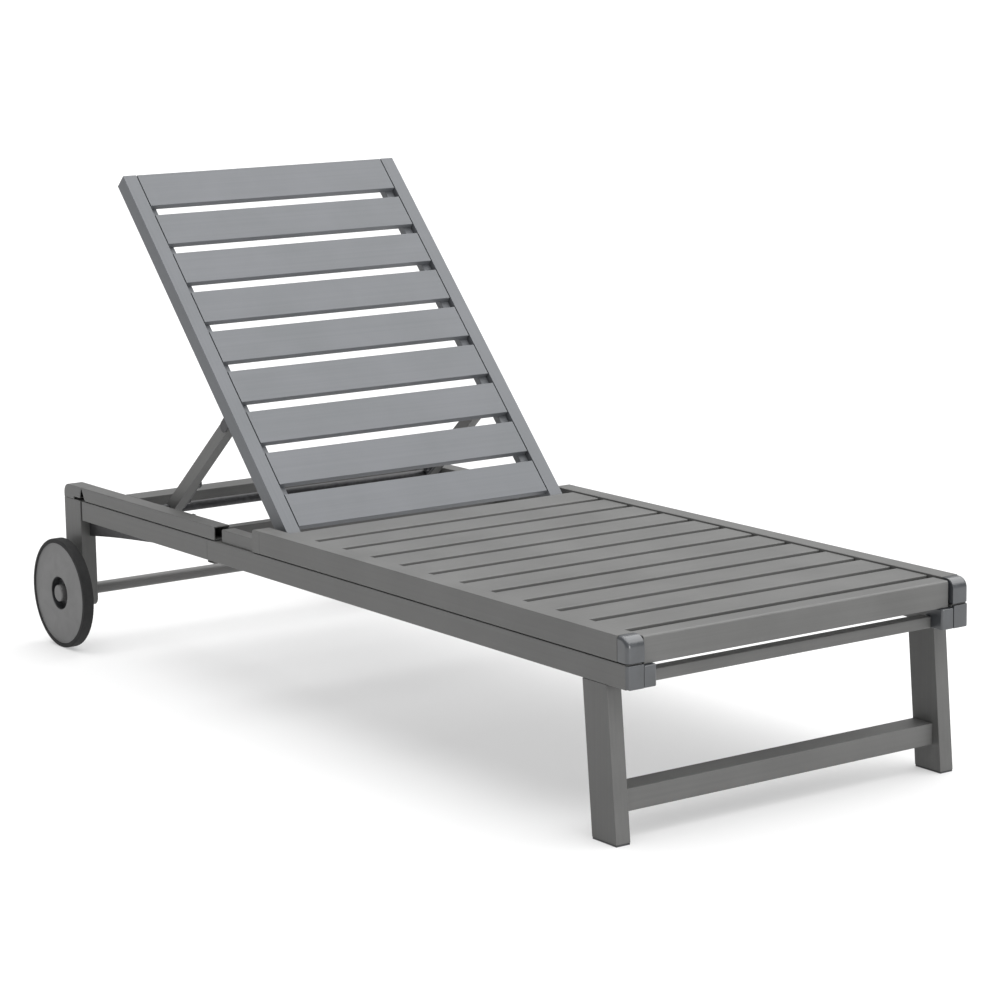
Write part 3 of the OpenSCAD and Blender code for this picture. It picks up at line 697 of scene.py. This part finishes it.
def wheels():
    """Discs with a near-black cup in the hub recess as painted shade, tyres, spacers and nuts, made on the left
    and mirrored, and the axle.
    """
    low, high = extent("wheel_disc_left")
    x, z = (low.x + high.x) / 2, (low.z + high.z) / 2
    rim = (high.x - low.x) / 2

    disc = drum("wheel_disc_left.piece", rim, low.y, high.y, x, z, sides=160)
    pick("FACE", lambda f: f.normal.y > 0.9)
    bpy.ops.mesh.inset(thickness=RIM_WIDTH)
    draw_out(y=-FACE_SINK)
    bpy.ops.mesh.inset(thickness=rim - RIM_WIDTH - HUB_BORE)
    draw_out(y=-HUB_DEPTH)
    begin()
    soften(disc, 1 * MM)

    # A near-black nylon cup inside the hub recess: painted shade, standing in for the recess's deep shade.
    shade_cup_low = high.y - FACE_SINK - HUB_DEPTH + SHADE_CUP_FLOOR
    shade_cup_high = high.y - SHADE_CUP_BELOW_RIM
    shade_cup = drum("hub_liner_left", HUB_BORE - SHADE_CUP_PLAY, shade_cup_low, shade_cup_high, x, z)
    pick("FACE", lambda f: f.normal.y > 0.9)
    bpy.ops.mesh.inset(thickness=SHADE_CUP_WALL)
    draw_out(y=shade_cup_low + SHADE_CUP_FLOOR - shade_cup_high)
    begin()

    spacer_low, spacer_high = one_side("axle_spacers", "left")
    spacer = drum("axle_spacer_left", (spacer_high.x - spacer_low.x) / 2, spacer_low.y, spacer_high.y,
        x, z, end_edge=1 * MM)
    nut_end = one_side("hub_nuts", "left")[1].y
    nut = drum("hub_nut_left", NUT_RADIUS, high.y - HUB_DEPTH, nut_end, x, z)
    pick("EDGE", lambda e: near(middle(e).y, nut_end) and on_rim(e))
    round_off(NUT_CROWN, 6)
    begin()

    for piece, node, coat in ((disc, "wheel_disc_left", WHEEL_PLASTIC),
            (shade_cup, "wheel_disc_left", SHOE_NYLON_AND_SHADE_FILL), (tyre(x, z, rim), "tyre_left", TYRE_RUBBER),
            (spacer, "axle_spacers", RAIL_COAT), (nut, "hub_nuts", WHEEL_PLASTIC)):
        twin = mirrored(piece, piece.name.replace("left", "right"))
        settle(piece, coat, node, smooth=30)
        settle(twin, coat, node.replace("left", "right"), smooth=30)
    axle(x, z)


def tyre(x, z, rim):
    """Left tyre: a band with rounded shoulders around the disc's rim."""
    low, high = extent("tyre_left")
    outer = (high.x - low.x) / 2
    piece = drum("tyre_left.piece", outer, low.y, high.y, x, z, sides=160)
    pick("EDGE", on_rim)
    round_off(TYRE_SHOULDER, 5)
    pick("FACE", lambda f: abs(f.normal.y) > 0.99)
    bpy.ops.mesh.inset(thickness=outer - TYRE_SHOULDER - rim)
    bpy.ops.mesh.bridge_edge_loops()
    begin()
    return piece


def axle(x, z):
    """Axle bar between the wheels, and its turned ends."""
    low, high = extent("axle")
    bar_low, bar_high = extent("axle", keep=lambda p: p.x < low.x + 1 * MM)
    shaft = drum("axle_bar", (high.x - low.x) / 2, bar_low.y, bar_high.y, x, z, end_edge=0.6 * MM)
    begin()
    settle(shaft, CROSS_COAT, "axle", smooth=30)
    for side, sign in (("left", 1), ("right", -1)):
        ys = sorted((bar_high.y * sign, high.y * sign))
        end = drum(f"axle_end_{side}", AXLE_END_RADIUS, ys[0], ys[1], x, z, end_edge=0.8 * MM)
        begin()
        settle(end, PAINTED_STEEL, "axle", smooth=30)


# ---------------------------------------------------------------------------- backrest and prop


def backrest():
    """Stiles with full-round lower ends, the battens behind the slats, and the pivot pins."""
    for side in SIDES:
        node = f"back_stile_{side}"
        low, high = extent(node, BACK)
        piece = block(node + ".piece", low, high)
        pick("EDGE", lambda e: runs(e, Y) and near(middle(e).x, high.x))
        round_off((high.z - low.z) / 2 - 0.01 * MM, 8)
        hollow_end(X, low.x, WALL, 1.2 * MM)
        begin()
        soften(piece, EXTRUSION_EDGE)
        settle(piece, LIT_STILE_COAT, node, BACK)

        sign = 1 if side == "left" else -1
        low, high = extent("back_battens", BACK, keep=lambda p: p.y * sign > 0)
        settle(bar(f"back_batten_{side}", low, high, X), LIT_STILE_COAT, "back_battens", BACK)
        pivot_pin(side, sign)


def pivot_pin(side, sign):
    """Pin that the backrest turns on: a head inside the stile and a plain shank."""
    low, high = one_side("pivot_bolts", side)
    x, z = (low.x + high.x) / 2, (low.z + high.z) / 2
    inner = min(abs(low.y), abs(high.y))
    outside = max(abs(low.y), abs(high.y))
    ys = sorted((inner * sign, (inner + PIN_HEAD) * sign))
    head = drum(f"pivot_bolt_head_{side}", PIN_HEAD_RADIUS, ys[0], ys[1], x, z, sides=48, end_edge=0.8 * MM)
    begin()
    settle(head, PAINTED_STEEL, "pivot_bolts", smooth=30)
    ys = sorted(((inner + PIN_HEAD) * sign, outside * sign))
    shank = drum(f"pivot_bolt_shank_{side}", PIN_RADIUS, ys[0], ys[1], x, z, sides=32, end_edge=0.5 * MM)
    begin()
    settle(shank, PAINTED_STEEL, "pivot_bolts", smooth=30)


def prop():
    """Prop arms with round ends, their bossed shoes, and the cross tube they share."""
    for side in SIDES:
        node = f"prop_arm_{side}"
        low, high = extent(node, PROP)
        piece = block(node + ".piece", low, high)
        pick("EDGE", lambda e: runs(e, Y))
        round_off((high.z - low.z) / 2 - 0.01 * MM, 8)
        begin()
        soften(piece, EXTRUSION_EDGE)
        settle(piece, PROP_COAT, node, PROP)
        prop_shoe(side)

    node = "prop_cross_tube"
    low, high = extent(node, PROP)
    tube = drum(node + ".piece", (high.z - low.z) / 2, low.y, high.y, (low.x + high.x) / 2, 0)
    for at in (low.y, high.y):
        hollow_end(Y, at, TUBE_WALL, BORE)
    begin()
    settle(tube, PAINTED_STEEL, node, PROP, smooth=30)


def prop_shoe(side):
    """Shoe on the inside of a prop arm: a plate with two dished bosses."""
    node = "prop_shoes"
    sign = 1 if side == "left" else -1
    low, high = extent(node, PROP, keep=lambda p: p.y * sign > 0)
    outside = max(abs(low.y), abs(high.y)) * sign
    inside = min(abs(low.y), abs(high.y)) * sign
    ys = sorted((outside, outside - SHOE_PLATE * sign))
    piece = block(f"prop_shoe_{side}", Vector((low.x, ys[0], low.z)), Vector((high.x, ys[1], high.z)))
    begin()
    soften(piece, 1.5 * MM)
    settle(piece, SHOE_NYLON_AND_SHADE_FILL, node, PROP)
    for number, along in enumerate(BOSSES_ALONG, 1):
        ys = sorted((outside - SHOE_PLATE * sign, inside))
        boss = drum(f"prop_shoe_boss_{number}_{side}", BOSS_RADIUS, ys[0], ys[1], -along, 0, sides=48)
        pick("EDGE", on_rim)
        round_off(2 * MM, 4)
        pick("FACE", lambda f: f.normal.y * sign < -0.9)
        bpy.ops.mesh.inset(thickness=3 * MM)
        draw_out(y=2 * MM * sign)
        begin()
        settle(boss, SHOE_NYLON_AND_SHADE_FILL, node, PROP, smooth=30)


def kept_nodes():
    """CAD nodes whose shape is right as it is: racks, brackets, gussets, ledgers and screws."""
    coats = {"prop_racks": RACK_STEEL, "prop_hinges": PAINTED_STEEL, "rack_screws": PAINTED_STEEL,
        "corner_braces": PAINTED_STEEL, "slat_ledgers": RAIL_COAT}
    for node, coat in coats.items():
        part = frame["nodes"][node]
        part.data.materials.clear()
        part.data.materials.append(coat)
        part.modifiers.new("joined", "WELD").merge_threshold = 0.01 * MM
        edge = part.modifiers.new("eased edges", "BEVEL")
        edge.width = 0.5 * MM
        edge.segments = 2
        edge.limit_method = "ANGLE"
        edge.angle_limit = math.radians(50)


# ---------------------------------------------------------------------------- studio

# Strengths of the lights, and the width in degrees and the direction of the overhead light and the fill
ROOM_LIGHT = 0.4
OVERHEAD_LIGHT = 4.6
OVERHEAD_SOFTNESS = 95
OVERHEAD_FROM = (0.1, 0.8, 3.0)
FILL_LIGHT = 1.1
FILL_SOFTNESS = 20
FILL_FROM = (3.0, 0.3, 0.4)
FLOOR_GLOW = 0.4


def studio():
    """White floor in an even pale room, a broad overhead light and a low front fill, in plain sRGB."""
    bpy.context.scene.view_settings.view_transform = "Standard"
    begin()
    bpy.ops.mesh.primitive_plane_add(size=400, location=(0, 0, 0))
    floor = bpy.context.object
    floor.name = "floor"
    material, _, shader, _ = surface("matt_white_studio_floor", 0.9, specular=0.1)
    shader.inputs["Base Color"].default_value = srgb("b4b4b4")
    shader.inputs["Emission Color"].default_value = (1, 1, 1, 1)
    shader.inputs["Emission Strength"].default_value = FLOOR_GLOW
    floor.data.materials.append(material)

    world = bpy.data.worlds.new("even_pale_room")
    bpy.context.scene.world = world
    world.use_nodes = True
    world.node_tree.nodes["Background"].inputs["Color"].default_value = (1, 1, 1, 1)
    world.node_tree.nodes["Background"].inputs["Strength"].default_value = ROOM_LIGHT

    for name, energy, angle, source in (
            ("overhead_softlight", OVERHEAD_LIGHT, OVERHEAD_SOFTNESS, OVERHEAD_FROM),
            ("low_front_fill", FILL_LIGHT, FILL_SOFTNESS, FILL_FROM)):
        lamp = bpy.data.lights.new(name, "SUN")
        lamp.angle = math.radians(angle)
        lamp.energy = energy
        holder = bpy.data.objects.new(name, lamp)
        holder.location = source
        holder.rotation_euler = Vector(source).to_track_quat("Z", "Y").to_euler()
        bpy.context.scene.collection.objects.link(holder)


# Azimuth, elevation and roll in degrees, place in metres, and focal length in millimetres
CAMERA_TURN = (54.88, 10.62, -0.883)
CAMERA_AT = (4.5744, -3.1340, 1.4056)
CAMERA_LENS = 112.67


def camera():
    """Long lens from the foot end's right, a little above the backrest's top."""
    azimuth, elevation, roll = (math.radians(angle) for angle in CAMERA_TURN)
    back = Vector((math.sin(azimuth) * math.cos(elevation), -math.cos(azimuth) * math.cos(elevation),
        math.sin(elevation)))
    right = Vector((math.cos(azimuth), math.sin(azimuth), 0))
    turn = Matrix((right, back.cross(right), back)).transposed() @ Matrix.Rotation(roll, 3, "Z")
    lens = bpy.data.cameras.new("long_lens")
    lens.sensor_width = 36
    lens.lens = CAMERA_LENS
    lens.clip_end = 100
    holder = bpy.data.objects.new("camera", lens)
    holder.matrix_world = Matrix.Translation(CAMERA_AT) @ turn.to_4x4()
    bpy.context.scene.collection.objects.link(holder)
    bpy.context.scene.camera = holder


camera()
rails()
caps()
corner_blocks()
connectors()
legs()
cross_pieces()
apron()
slats("seat_slat", 11, 2, CROSS_COAT, LEVEL, SEAT_SLAT_JOINT)
slats("back_slat", 9, 1, LIT_BACK_COAT, BACK, BACK_SLAT_JOINT)
wheels()
backrest()
prop()
kept_nodes()
studio()
